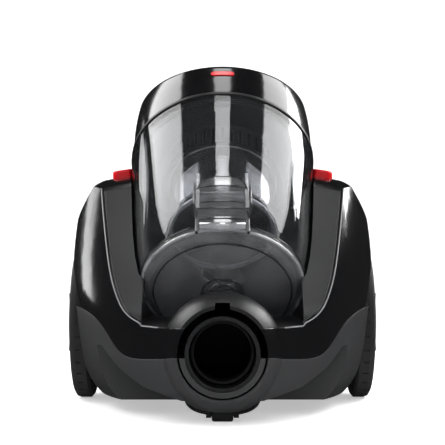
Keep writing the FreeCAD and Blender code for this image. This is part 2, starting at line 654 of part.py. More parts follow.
def pedal(right):
    """One red foot pedal with its stem."""
    block = pedal_column(0, PEDAL_BOTTOM, 300).cut(deck_tool(-PEDAL_RISE))
    block = block.cut(pocket_tool(BIN_CLEARANCE + WALL + PEDAL_GAP))
    block = max(block.Solids, key=lambda s: s.Volume)
    cap = rounded(block, 2.2, lambda e: middle(e).z > 215 and middle(e).x > PEDAL_IN + 2)
    stem = rod(STEM_R, (STEM_X, STEM_Y, STEM_BOTTOM), (STEM_X, STEM_Y, PEDAL_BOTTOM + 1))
    whole = cap.fuse(stem)
    return whole if right else mirrored(whole)


def pedal_spring(right):
    """The coil spring round a pedal's stem."""
    height = PEDAL_BOTTOM - SHELF_TOP - 2 * SPRING_WIRE - 0.4
    helix = Part.makeHelix(height / SPRING_TURNS, height, SPRING_R)
    section = Part.Wire(Part.makeCircle(SPRING_WIRE, V(SPRING_R, 0, 0), Y_DIR))
    coil = Part.Wire(helix).makePipeShell([section], True, True)
    coil.translate(V(STEM_X, STEM_Y, SHELF_TOP + SPRING_WIRE + 0.2))
    return coil if right else mirrored(coil)


def pedal_shelf(right, inside, liner):
    """The guide shelf between the bin cradle and the outer wall, under a pedal."""
    shelf = box((PEDAL_IN - 30, PEDAL_FRONT, SHELF_LOW), (200, PEDAL_BACK, SHELF_TOP))
    shelf = shelf.common(inside).cut(liner)
    shelf = max(shelf.Solids, key=lambda s: s.Volume)
    shelf = shelf.cut(rod(STEM_R + RUNNING_GAP, (STEM_X, STEM_Y, 0), (STEM_X, STEM_Y, 250)))
    return shelf if right else mirrored(shelf)


def power_switch():
    """The mains switch under the left pedal."""
    x, y = -STEM_X, STEM_Y
    case = box((x - 9, y - 14, SHELF_LOW - 26), (x + 9, y + 14, SHELF_LOW - 9))
    ears = box((x - 9, y + 11, SHELF_LOW - 10), (x + 9, y + 14, SHELF_LOW))
    plunger = rod(3, (x, y, SHELF_LOW - 10), (x, y, STEM_BOTTOM - PEDAL_TRAVEL - 0.4))
    return case.fuse(ears).fuse(plunger)


def circuit_board():
    """The speed control board, standing beside the air duct, with its larger components."""
    x, z = -96.0, FLOOR_Z + FLOOR_WALL
    board = box((x, -52, z), (x + 1.6, 6, z + 44))
    parts = [
        rod(7, (x + 1.6, -36, z + 26), (x + 18, -36, z + 26)),
        box((x + 1.6, -18, z + 12), (x + 14, 0, z + 34)),
        box((x + 1.6, -48, z + 6), (x + 9, -26, z + 14)),
    ]
    return board.multiFuse(parts)


def cord_bush():
    """The rubber bush where the mains lead would leave."""
    y0, y1 = CORD_FACE_Y - 9, CORD_FACE_Y + 2
    bush = rod(CORD_BUSH_R, (CORD_X, y0, CORD_Z), (CORD_X, y1, CORD_Z))
    bush = bush.fuse(rod(CORD_BUSH_R + 2.5, (CORD_X, y1 - 1.6, CORD_Z), (CORD_X, y1, CORD_Z)))
    return bush.cut(rod(3.4, (CORD_X, 150, CORD_Z), (CORD_X, 230, CORD_Z)))


# ---------------------------------------------------------------- wheels

def wheel_turned(outline, smooth=()):
    """A right-hand wheel piece from (radius, X) points."""
    form = turned(outline, smooth)
    form.rotate(V(0, 0, 0), Y_DIR, 90)
    form.translate(V(0, AXLE_Y, AXLE_Z))
    return form


def tyre():
    """The soft tyre, with a chamfered inner shoulder."""
    ring = wheel_turned([
        (TYRE_SEAT_R, 131), (WHEEL_R - 3, 129.5), (WHEEL_R, 132), (WHEEL_R, 141.5), (WHEEL_R - 1.2, 145),
        (WHEEL_R - 4.5, 147), (TYRE_SEAT_R, 147.6),
    ])
    for i in range(TREAD_BLOCKS):
        groove = box((136.4, -0.9, WHEEL_R - 1.2), (141.2, 0.9, WHEEL_R + 2))
        groove.rotate(V(0, 0, 0), X_DIR, i * 360 / TREAD_BLOCKS)
        groove.translate(V(0, AXLE_Y, AXLE_Z))
        ring = ring.cut(groove)
    return ring


def rim():
    """The wheel's disc, with its hub and the seat for the tyre."""
    seat_r = TYRE_SEAT_R
    band = wheel_turned([(seat_r - 4, 131.5), (seat_r, 131.5), (seat_r, 147.0), (seat_r - 4, 148.0)])
    web = wheel_turned([(AXLE_R + 1, 134), (seat_r - 2, 134), (seat_r - 2, 137), (AXLE_R + 1, 137)])
    hub = wheel_turned([(AXLE_R, 123.5), (11, 123.5), (11, 141), (AXLE_R, 141)])
    whole = band.fuse(web).fuse(hub)
    for i in range(6):
        hole = rod(9, (120, 0, 38), (150, 0, 38))
        hole.rotate(V(0, 0, 0), X_DIR, 60 * i)
        hole.translate(V(0, AXLE_Y, AXLE_Z))
        whole = whole.cut(hole)
    return whole.cut(rod(AXLE_R + RUNNING_GAP, (100, AXLE_Y, AXLE_Z), (160, AXLE_Y, AXLE_Z)))


def hub_cap():
    """The domed disc that closes the wheel's outer face."""
    cap_r = TYRE_SEAT_R - 4.3
    dome = [(0, 151.4), (18, 151.1), (36, 150.2), (50, 149.0), (cap_r, 147.6)]
    inner = [
        (cap_r, 138.5), (cap_r - 3, 138.5), (cap_r - 3, 144.9),
        (50, 146.4), (36, 147.5), (18, 148.4), (0, 148.7),
    ]
    return wheel_turned(dome + inner, smooth=[(0, 4), (7, 11)])


def axle():
    """A right-hand stub axle with its retaining head."""
    start = ARCH_IN - ARCH_WALL - 14
    pin = rod(AXLE_R, (start, AXLE_Y, AXLE_Z), (143.0, AXLE_Y, AXLE_Z))
    return pin.fuse(rod(9, (141.4, AXLE_Y, AXLE_Z), (143.6, AXLE_Y, AXLE_Z)))


def caster_fork():
    """The domed caster plate with two ears for the roller."""
    low, high = CASTER_DOME_LOW, CASTER_DOME_HIGH
    line = [(14.5, low), (24, low + 2.6), (29.5, low + 6.6), (CASTER_DOME_R, high)]
    dome = turned(round_line(line), [(1, len(line))])
    dome.translate(V(0, CASTER_Y, 0))
    y = ROLLER_Y
    ears = box((-EAR_X, y - 6, ROLLER_R - 8), (EAR_X, y + 14, high))
    ears = rounded(ears, 5.9, lambda e: runs_along(e, X_DIR) and middle(e).z < 5 and middle(e).y < y)
    fork = dome.fuse(ears).fuse(rod(13, (0, CASTER_Y, high - 1), (0, CASTER_Y, high + 3)))
    side = ROLLER_W / 2 + FACE_GAP
    fork = fork.cut(box((-side, y - 20, -5), (side, y + ROLLER_R + 0.6, 40)))
    fork = fork.cut(rod(2, (-30, y, ROLLER_R), (30, y, ROLLER_R)))
    return fork.cut(rod(CASTER_PIN_R, (0, CASTER_Y, CASTER_PIN_LOW), (0, CASTER_Y, 60)))


def caster_pin():
    """The upright pin that the caster swivels on."""
    return rod(CASTER_PIN_R, (0, CASTER_Y, CASTER_PIN_LOW), (0, CASTER_Y, CASTER_PIN_TOP))


def caster_axle():
    """The roller's axle."""
    return rod(2, (-EAR_X, ROLLER_Y, ROLLER_R), (EAR_X, ROLLER_Y, ROLLER_R))


def caster_roller():
    """The front roller."""
    half = ROLLER_W / 2
    roller = rod(ROLLER_R, (-half, ROLLER_Y, ROLLER_R), (half, ROLLER_Y, ROLLER_R))
    roller = rounded(roller, 2.0, lambda e: abs(middle(e).x) > half - 0.1)
    return roller.cut(rod(2 + RUNNING_GAP, (-30, ROLLER_Y, ROLLER_R), (30, ROLLER_Y, ROLLER_R)))


# ---------------------------------------------------------------- dust bin

def bin_shell():
    """The clear barrel, open at both ends, with the air port and the ears for door and latch."""
    last = len(BIN_LINE)
    shell = turned(round_line(BIN_LINE), [(1, last)])
    bore = [(r - BIN_WALL, z) for r, z in BIN_LINE]
    bore[0], bore[-1] = (bore[0][0], -1), (bore[-1][0], BIN_LENGTH)
    shell = shell.cut(turned(round_line(bore), [(1, last)]))
    for x in (-HINGE_EAR_X, HINGE_EAR_X):
        ear = box((x - 2.5, 70, -3), (x + 2.5, HINGE_Y, 3))
        ear = ear.fuse(rod(3, (x - 2.5, HINGE_Y, 0), (x + 2.5, HINGE_Y, 0)))
        keep_out = turned([(0, -9), (DOOR_R + 0.8, -9), (DOOR_R + 0.8, 0), (71.5, 0), (71.5, 9), (0, 9)])
        shell = shell.fuse(ear.cut(keep_out))
    for x in (-LATCH_RAIL_X, LATCH_RAIL_X):
        rail = box((x - 1.4, -LATCH_PIN_Y - 4.5, 2), (x + 1.4, -66, 52))
        rail = rounded(rail, 4, lambda e: runs_along(e, X_DIR) and middle(e).y < -70)
        keep_out = turned(round_line([(71.5, -5), (73.5, 12), (75.5, 25), (78, 50), (79.5, 60)]))
        shell = shell.fuse(rail.cut(keep_out))
    shell = shell.cut(rod(LATCH_PIN_R, (-40, -LATCH_PIN_Y, LATCH_PIN_Z), (40, -LATCH_PIN_Y, LATCH_PIN_Z)))
    shell = shell.cut(rod(HINGE_PIN_R, (-40, HINGE_Y, 0), (40, HINGE_Y, 0)))
    shell = shell.cut(rod(PORT_R - 2, (0, 60, PORT_HEIGHT), (0, 110, PORT_HEIGHT)))
    return in_bin(shell)


def rim_ring():
    """The collar at the barrel's mouth."""
    top = BIN_LINE[-1][1]
    foot_r, mouth_r = 84.8, 81.0
    ring = turned([
        (foot_r, top), (RIM_R, top), (RIM_R, BIN_LENGTH),
        (mouth_r, BIN_LENGTH), (mouth_r, top + 1), (foot_r, top),
    ])
    return in_bin(ring)


def bin_ring(outer, inner, low, high):
    """A ring on the bin's axis."""
    return in_bin(tube(outer, inner, (0, 0, low), (0, 0, high)))


def fine_dust_cup():
    """The inner cup that collects fine dust, closed at its lower end."""
    r, low, high = INNER_R, INNER_LOW, INNER_SPLIT
    cup = turned([(0, low), (r - 8, low), (r - 2.4, low + 2.4), (r, low + 8), (r, high), (0, high)], [(1, 3)])
    room = turned([(0, low + 2), (r - 9, low + 2), (r - 2.2, low + 9), (r - 2.2, high + 1), (0, high + 1)])
    return in_bin(cup.cut(room))


def cyclone_shroud():
    """The slotted sleeve that air leaves the outer cyclone through."""
    r, low, high = INNER_R, INNER_SPLIT + 0.1, INNER_HIGH
    skirt = turned([
        (r - 2.2, low), (r + 0.3, low), (r + 7, low - 4), (r + 8, low - 4),
        (r + 1, low + 3), (r, low + 3), (r, high), (r - 2.2, high),
    ])
    for i in range(SHROUD_SLOTS):
        slot = box((-1.5, -r - 4, low + 7), (1.5, -r + 6, high - 5))
        slot.rotate(V(0, 0, 0), Z_DIR, i * 360 / SHROUD_SLOTS)
        skirt = skirt.cut(slot)
    return in_bin(skirt)


def cone_spots():
    """Where the small cones stand, as (X, Y) in the bin's frame."""
    turns = [2 * math.pi * i / CONES for i in range(CONES)]
    return [(CONE_RING_R * math.cos(turn), CONE_RING_R * math.sin(turn)) for turn in turns]


def cyclone_cones():
    """The ring of small cones inside the shroud, hanging from one plate."""
    plate = rod(INNER_R - 2.6, (0, 0, INNER_HIGH - 3), (0, 0, INNER_HIGH))
    for x, y in cone_spots():
        outside = Part.makeCone(4.5, 12, 66, V(x, y, INNER_HIGH - 69))
        inside = Part.makeCone(3, 10.5, 67, V(x, y, INNER_HIGH - 69.2))
        hole = rod(10.4, (x, y, INNER_HIGH - 3.2), (x, y, INNER_HIGH + 1))
        plate = plate.fuse(outside).cut(inside).cut(hole)
    return in_bin(plate)


def bin_deck():
    """The plate that closes the barrel's mouth and carries the cyclone."""
    plate = tube(80.8, 20, (0, 0, INNER_HIGH + 0.1), (0, 0, INNER_HIGH + 3))
    for x, y in cone_spots():
        plate = plate.cut(rod(6, (x, y, 150), (x, y, 170)))
    return in_bin(plate)


def foam_filter():
    """The washable foam disc above the cyclone."""
    return bin_ring(72, 9, BIN_LENGTH + 3, BIN_LENGTH + 21)


def filter_tray():
    """The tray that the foam disc lies in."""
    low = BIN_LENGTH + 1.1
    edge_r, room_r, hole_r = 74.5, 72.2, 30.0
    tray = turned([
        (hole_r, low), (edge_r, low), (edge_r, low + 20),
        (room_r, low + 20), (room_r, low + 1.8), (hole_r, low + 1.8),
    ])
    return in_bin(tray)


def lid_form(inset):
    """The cap over the barrel, with its slanting top."""
    line = [(r, z + BIN_LENGTH) for r, z in LID_LINE]
    form = turned(round_line(line, inset), [(1, len(line))])
    top = LID_TOP - inset * math.hypot(1, LID_TOP_SLOPE)
    side, rise = 200.0, 200.0 * LID_TOP_SLOPE
    above = polygon([
        (-side, -side, top - rise), (-side, side, top + rise),
        (side, side, top + rise), (side, -side, top - rise),
    ])
    form = form.cut(above.extrude(V(0, 0, side)))
    return rounded(form, LID_EDGE_R - inset, is_lid_edge)


def is_lid_edge(edge):
    """True for the edge round the cap's slanting top, but not for the seam of its side."""
    high_up = middle(edge).z > BIN_LENGTH + 30
    return high_up and (abs(middle(edge).x) >= 1e-6 or edge.isClosed())


def lid_shell():
    """The gloss cap."""
    shell = lid_form(0).cut(lid_form(LID_WALL).cut(box((-200, -200, 0), (200, 200, BIN_LENGTH + 0.6))))
    shell = shell.cut(rod(84.3 - 1.0, (0, 0, BIN_LENGTH), (0, 0, BIN_LENGTH + 6)))
    return in_bin(shell)


def lid_top_z(y):
    """Height of the cap's slanting top, in the machine's frame, above a point on its middle line."""
    origin = BIN_FRAME.multVec(V(0, 0, LID_TOP))
    ahead = BIN_FRAME.multVec(V(0, 1, LID_TOP + LID_TOP_SLOPE))
    steep = (ahead.z - origin.z) / (ahead.y - origin.y)
    return origin.z + steep * (y - origin.y)


def above_lid(points):
    """(Y, rise) points as (X, Y, Z) ones on the grip's left side, where rise is the height over the cap."""
    return [(-HANDLE_HALF, y, lid_top_z(y) + rise) for y, rise in points]


def carry_handle():
    """The arched grip on the cap."""
    over, under = above_lid(HANDLE_OVER), above_lid(HANDLE_UNDER)
    sides = [spline(over), spline(under)]
    for (_, ya, za), (_, yb, zb) in ((over[-1], under[0]), (under[-1], over[0])):
        low_a, low_b = lid_top_z(ya) - 1, lid_top_z(yb) - 1
        foot = [(ya, za), (ya, low_a), (yb, low_b), (yb, zb)]
        sides += Part.makePolygon([V(-HANDLE_HALF, y, z) for y, z in foot]).Edges
    wire = Part.Wire(Part.__sortEdges__(sides))
    grip = Part.Face(wire).extrude(V(2 * HANDLE_HALF, 0, 0))
    grip = rounded(grip, 4.0, lambda e: e.Length > 60 and abs(abs(middle(e).x) - HANDLE_HALF) < 1e-6)
    return grip.cut(in_bin(lid_form(0))).cut(button_form(0.4, BUTTON_TRAVEL + 0.5))


def button_form(gap, depth):
    """The release button's outline on the grip, made bigger by gap and sunk by depth."""
    cap = box((-8 - gap, -12 - gap, -depth), (8 + gap, 12 + gap, 4.5))
    cap = rounded(cap, 3.4 + gap, lambda e: runs_along(e, Z_DIR))
    stem = rod(2 + gap / 8, (0, 0, -BUTTON_STEM - depth - gap), (0, 0, 0))
    button = cap.fuse(stem)
    place = V(0, BUTTON_Y, lid_top_z(BUTTON_Y) + BUTTON_RISE)
    button.Placement = FreeCAD.Placement(place, FreeCAD.Rotation(X_DIR, BUTTON_TILT))
    return button


def release_button():
    """The push button on the grip that frees the bin."""
    return button_form(0, 0)


def badge():
    """A plain raised bar on the front of the cap."""
    bar = box((-11, -95, BIN_LENGTH + 26.5), (11, -60, BIN_LENGTH + 32))
    bar = rounded(bar, 2.7, lambda e: runs_along(e, Y_DIR))
    grown = [(r + 0.9, z + BIN_LENGTH) for r, z in LID_LINE]
    skin = turned(round_line(grown), [(1, len(grown))])
    return in_bin(bar.common(skin).cut(lid_form(0)))


def door_disc():
    """The clear door at the barrel's lower end."""
    r, edge = DOOR_R, DOOR_EDGE_R
    dish = turned([
        (0, -DOOR_DEEP), (r - edge - 2, -DOOR_DEEP + 0.6), (r - 2.6, -DOOR_DEEP + 3.6), (r, -0.2),
        (r - 2.6, -0.2), (r - 4.6, -DOOR_DEEP + 5.6), (r - edge - 3, -DOOR_DEEP + 3.0), (0, -DOOR_DEEP + 2.4),
    ], smooth=[(1, 3), (4, 6)])
    knuckle = box((-HINGE_EAR_X + 3, 68, -5), (HINGE_EAR_X - 3, HINGE_Y, -0.6))
    knuckle = knuckle.fuse(rod(4, (-HINGE_EAR_X + 3, HINGE_Y, 0), (HINGE_EAR_X - 3, HINGE_Y, 0)))
    knuckle = knuckle.cut(rod(DOOR_R + 1.0, (0, 0, -0.2), (0, 0, 20)))
    dish = dish.fuse(knuckle.cut(turned([(0, -9), (69, -9), (69, 0), (0, 0)])))
    dish = dish.cut(rod(HINGE_PIN_R + RUNNING_GAP, (-60, HINGE_Y, 0), (60, HINGE_Y, 0)))
    disc = rod(12, (0, 0, -DOOR_DEEP - 1.2), (0, 0, -DOOR_DEEP + 1))
    return in_bin(max(dish.fuse(disc).Solids, key=lambda s: s.Volume))


def hinge_pin():
    """The door hinge's pin."""
    end = HINGE_EAR_X + 2.5
    return in_bin(rod(HINGE_PIN_R, (-end, HINGE_Y, 0), (end, HINGE_Y, 0)))


def door_seal():
    """The soft ring round the door's inner edge."""
    return bin_ring(DOOR_R - 4.0, DOOR_R - 7.0, -2.6, -0.4)


def door_latch():
    """The clear clip that holds the door shut."""
    line = [(-78.6, -10), (-79.8, 0), (-83.4, 16), (-86.0, 30), (-88.2, 44), (-90.0, 52)]
    outer = spline([(-LATCH_HALF, y, z) for y, z in line])
    inner = spline([(-LATCH_HALF, y + 2.6, z) for y, z in line])
    (ya, za), (yb, zb) = line[0], line[-1]
    ends = [
        Part.makeLine(V(-LATCH_HALF, ya, za), V(-LATCH_HALF, ya + 2.6, za)),
        Part.makeLine(V(-LATCH_HALF, yb, zb), V(-LATCH_HALF, yb + 2.6, zb)),
    ]
    plate = Part.Face(Part.Wire(Part.__sortEdges__([outer, inner] + ends))).extrude(V(2 * LATCH_HALF, 0, 0))
    for x in (-LATCH_HALF + 1.2, LATCH_HALF - 1.2):
        low = (x - 1.2, -LATCH_PIN_Y - 3.5, LATCH_PIN_Z - 9)
        high = (x + 1.2, -LATCH_PIN_Y + 2.5, LATCH_PIN_Z + 9)
        plate = plate.fuse(box(low, high))
    barrel = rod(3, (-LATCH_HALF, -LATCH_PIN_Y, LATCH_PIN_Z), (LATCH_HALF, -LATCH_PIN_Y, LATCH_PIN_Z))
    plate = plate.fuse(barrel)
    for z in (38, 42.5, 47):
        y = -LATCH_PIN_Y - 3.9 - (z - 30) * 0.145
        plate = plate.fuse(rod(1.0, (-LATCH_HALF + 5, y, z), (LATCH_HALF - 5, y, z)))
    hole_r = LATCH_PIN_R + RUNNING_GAP
    hole = rod(hole_r, (-40, -LATCH_PIN_Y, LATCH_PIN_Z), (40, -LATCH_PIN_Y, LATCH_PIN_Z))
    return in_bin(plate.cut(hole))


def latch_pin():
    """The latch's pivot."""
    end = LATCH_RAIL_X + 1.4
    return in_bin(rod(LATCH_PIN_R, (-end, -LATCH_PIN_Y, LATCH_PIN_Z), (end, -LATCH_PIN_Y, LATCH_PIN_Z)))


# ---------------------------------------------------------------- the whole machine

def save_base():
    """Writes the fixed pieces of the base."""
    upper, chassis, cradle = base_mouldings()
    save("upper_shell", upper)
    save("lower_chassis", chassis)
    save("bin_cradle", cradle)
    save("inlet_socket", inlet_sleeve())
    save("inlet_duct", inlet_duct())
    save("bin_port_seal", port_seal())
    save("motor_housing", motor_housing())
    save("motor_stator", motor_stator())
    save("motor_mounts", motor_mounts())
    save("motor_saddles", motor_saddles())
    save("exhaust_filter", exhaust_filter())
    save("reel_frame", reel_frame())
    save("brake_bracket", brake_bracket())
    save("power_switch", power_switch())
    save("circuit_board", circuit_board())
    save("cord_outlet_bush", cord_bush())
    save("chassis_screws", chassis_screws())
    inside = body_form(WALL)
    liner = pocket_tool(BIN_CLEARANCE + WALL)
    save("left_pedal_shelf", pedal_shelf(False, inside, liner))
    save("right_pedal_shelf", pedal_shelf(True, inside, liner))
    skin_block = body_form(0).cut(body_form(2.4))
    save("exhaust_grille", exhaust_grille(skin_block))


def save_moving():
    """Writes the pieces that turn or slide in the base."""
    save("motor_armature", motor_armature())
    save("motor_fan", motor_fan())
    save("cord_drum", cord_drum())
    save("reel_spring_case", reel_spring())
    save("brake_lever", brake_arm())
    save("power_pedal", pedal(False))
    save("rewind_pedal", pedal(True))
    save("power_pedal_spring", pedal_spring(False))
    save("rewind_pedal_spring", pedal_spring(True))
    for side, place in (("right", lambda s: s), ("left", mirrored)):
        save(f"{side}_tyre", place(tyre()))
        save(f"{side}_wheel_disc", place(rim()))
        save(f"{side}_hub_cap", place(hub_cap()))
        save(f"{side}_axle", place(axle()))
    save("caster_fork", caster_fork())
    save("caster_swivel_pin", caster_pin())
    save("caster_axle", caster_axle())
    save("caster_roller", caster_roller())


def save_bin():
    """Writes the dust bin, its door and its lid."""
    save("bin_barrel", bin_shell())
    save("bin_rim_ring", rim_ring())
    save("fine_dust_cup", fine_dust_cup())
    save("cyclone_shroud", cyclone_shroud())
    save("cyclone_cones", cyclone_cones())
    save("cyclone_plate", bin_deck())
    save("filter_tray", filter_tray())
    save("foam_filter", foam_filter())
    save("bin_door", door_disc())
    save("door_seal", door_seal())
    save("door_hinge_pin", hinge_pin())
    save("door_latch", door_latch())
    save("latch_pin", latch_pin())
    save("lid_shell", lid_shell())
    save("carry_handle", carry_handle())
    save("release_button", release_button())
    save("badge", badge())


if __name__ == "__main__":
    os.makedirs("parts", exist_ok=True)
    save_bin()
    save_moving()
    save_base()
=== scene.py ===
import json
import math

import bmesh
import bpy
from mathutils import Matrix, Vector


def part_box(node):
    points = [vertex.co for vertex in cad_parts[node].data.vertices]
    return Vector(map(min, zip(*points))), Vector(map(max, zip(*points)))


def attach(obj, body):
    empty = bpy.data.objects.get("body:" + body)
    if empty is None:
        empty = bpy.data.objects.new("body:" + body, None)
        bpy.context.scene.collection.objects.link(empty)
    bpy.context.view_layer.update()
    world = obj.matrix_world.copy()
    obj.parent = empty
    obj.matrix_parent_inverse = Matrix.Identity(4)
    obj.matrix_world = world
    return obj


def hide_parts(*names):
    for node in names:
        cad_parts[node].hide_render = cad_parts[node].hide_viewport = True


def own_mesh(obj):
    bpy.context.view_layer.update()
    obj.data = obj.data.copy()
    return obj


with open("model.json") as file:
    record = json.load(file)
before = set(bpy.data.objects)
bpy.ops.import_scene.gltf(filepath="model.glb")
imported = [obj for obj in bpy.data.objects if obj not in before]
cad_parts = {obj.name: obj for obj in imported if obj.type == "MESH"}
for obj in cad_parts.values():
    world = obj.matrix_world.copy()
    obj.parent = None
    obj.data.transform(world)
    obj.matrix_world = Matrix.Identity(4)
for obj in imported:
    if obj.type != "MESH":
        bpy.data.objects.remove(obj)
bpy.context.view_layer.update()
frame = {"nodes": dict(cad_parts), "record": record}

SCENE = bpy.context.scene
NODES = frame["nodes"]

# Camera: far off, a little above the floor, tilted up slightly.
CAMERA_AT = (0.0, -1.183, 0.113)
CAMERA_PITCH = 2.92
CAMERA_LENS = 99.1
SENSOR = 36.0

# Studio, in metres: the floor's flat radius, its curve's radius and the wall's height.
STAGE_FLAT, STAGE_CURVE, STAGE_HIGH = 2.2, 0.8, 3.4
STAGE_GLOW = 0.45

# The dust bin's own frame, in metres: Z is its axis, -Y its upper side.
BIN_FRAME = Matrix.Translation((0, -0.104, 0.114)) @ Matrix.Rotation(math.radians(-43), 4, "X")

# The door clip's half width and how far its middle bulges.
CLIP_HALF, CLIP_CROWN = 0.0215, 0.0022
AXLE_Y = 0.067


# ---------------------------------------------------------------- helpers

def node_tree(name):
    """A new material with its nodes, its links and its Principled shader."""
    mat = bpy.data.materials.new(name)
    mat.use_nodes = True
    nodes = mat.node_tree.nodes
    shader = nodes["Principled BSDF"]
    return mat, nodes, mat.node_tree.links, shader


def noise(nodes, links, coords, scale, detail=3.0, stretch=(1, 1, 1)):
    """A noise texture in object space, in cycles per metre."""
    mapping = nodes.new("ShaderNodeMapping")
    mapping.inputs["Scale"].default_value = stretch
    tex = nodes.new("ShaderNodeTexNoise")
    tex.inputs["Scale"].default_value = scale
    tex.inputs["Detail"].default_value = detail
    links.new(coords.outputs["Object"], mapping.inputs["Vector"])
    links.new(mapping.outputs["Vector"], tex.inputs["Vector"])
    return tex


def ramp(nodes, links, source, low, high):
    """Maps a 0 to 1 value to low to high."""
    remap = nodes.new("ShaderNodeMapRange")
    remap.inputs["From Min"].default_value = 0.3
    remap.inputs["From Max"].default_value = 0.7
    remap.inputs["To Min"].default_value = low
    remap.inputs["To Max"].default_value = high
    links.new(source, remap.inputs["Value"])
    return remap.outputs["Result"]


def colour_between(nodes, links, factor, low, high):
    """A colour that moves from low to high with factor."""
    mix = nodes.new("ShaderNodeMix")
    mix.data_type = "RGBA"
    mix.inputs[6].default_value = (*low, 1)
    mix.inputs[7].default_value = (*high, 1)
    links.new(factor, mix.inputs[0])
    return mix.outputs[2]


def plastic(name, low, high, rough, grain=0.0, grain_scale=2200.0, edge=0.0, specular=0.5):
    """Moulded plastic: a colour range, a roughness range, spark-erosion grain and softened edges."""
    mat, nodes, links, shader = node_tree(name)
    coords = nodes.new("ShaderNodeTexCoord")
    broad = noise(nodes, links, coords, 14.0)
    fine = noise(nodes, links, coords, grain_scale, 2.0)
    links.new(colour_between(nodes, links, broad.outputs["Fac"], low, high), shader.inputs["Base Color"])
    links.new(ramp(nodes, links, broad.outputs["Fac"], *rough), shader.inputs["Roughness"])
    shader.inputs["Specular IOR Level"].default_value = specular
    bump = nodes.new("ShaderNodeBump")
    bump.inputs["Strength"].default_value = grain
    bump.inputs["Distance"].default_value = 0.0002
    links.new(fine.outputs["Fac"], bump.inputs["Height"])
    if edge:
        bevel = nodes.new("ShaderNodeBevel")
        bevel.samples = 6
        bevel.inputs["Radius"].default_value = edge
        links.new(bevel.outputs["Normal"], bump.inputs["Normal"])
    links.new(bump.outputs["Normal"], shader.inputs["Normal"])
    return mat


def mirror_share(nodes, links, head_on):
    """How much a clear surface mirrors: head_on when faced, rising to 1 at grazing, alike from both sides."""
    weight = nodes.new("ShaderNodeLayerWeight")
    weight.inputs["Blend"].default_value = 0.5
    power = nodes.new("ShaderNodeMath")
    power.operation = "POWER"
    power.inputs[1].default_value = 5.0
    rise = nodes.new("ShaderNodeMapRange")
    rise.inputs["To Min"].default_value = head_on
    rise.inputs["To Max"].default_value = 1.0
    links.new(weight.outputs["Facing"], power.inputs[0])
    links.new(power.outputs[0], rise.inputs["Value"])
    return rise.outputs["Result"]


def clear_plastic(name, tint, dust_and_highlight, head_on, rough=0.03):
    """Thin clear plastic: tinted see-through under a gloss that grows towards the edges, with a milky film.
    The film is a faint dusty haze at low amounts and a painted highlight at high ones; a very dark tint is
    painted shade.
    """
    mat, nodes, links, shader = node_tree(name)
    nodes.remove(shader)
    out = nodes["Material Output"]
    coords = nodes.new("ShaderNodeTexCoord")
    see = nodes.new("ShaderNodeBsdfTransparent")
    see.inputs["Color"].default_value = (*tint, 1)
    gloss = nodes.new("ShaderNodeBsdfGlossy")
    gloss.inputs["Roughness"].default_value = rough
    # The milky film: a faint dusty haze at low amounts, and a painted highlight at high ones.
    film = nodes.new("ShaderNodeBsdfDiffuse")
    film.inputs["Color"].default_value = (0.55, 0.56, 0.58, 1)
    film_patches = noise(nodes, links, coords, 60.0, 4.0)
    first = nodes.new("ShaderNodeMixShader")
    second = nodes.new("ShaderNodeMixShader")
    links.new(ramp(nodes, links, film_patches.outputs["Fac"], dust_and_highlight * 0.6, dust_and_highlight * 1.4), first.inputs["Fac"])
    links.new(see.outputs[0], first.inputs[1])
    links.new(film.outputs[0], first.inputs[2])
    links.new(mirror_share(nodes, links, head_on), second.inputs["Fac"])
    links.new(first.outputs[0], second.inputs[1])
    links.new(gloss.outputs[0], second.inputs[2])
    links.new(second.outputs[0], out.inputs["Surface"])
    return mat


def metal(name, colour, rough, brushed=(1, 1, 40)):
    """Bare metal with a brushed grain."""
    mat, nodes, links, shader = node_tree(name)
    coords = nodes.new("ShaderNodeTexCoord")
    lines = noise(nodes, links, coords, 220.0, 3.0, brushed)
    shader.inputs["Metallic"].default_value = 1.0
    dark = tuple(c * 0.8 for c in colour)
    links.new(colour_between(nodes, links, lines.outputs["Fac"], dark, colour), shader.inputs["Base Color"])
    links.new(ramp(nodes, links, lines.outputs["Fac"], rough * 0.7, rough * 1.3), shader.inputs["Roughness"])
    return mat


def rubber(name, low, high):
    """Dull rubber with a fine, uneven surface."""
    return plastic(name, low, high, (0.55, 0.75), grain=0.5, grain_scale=900.0, edge=0.0004)


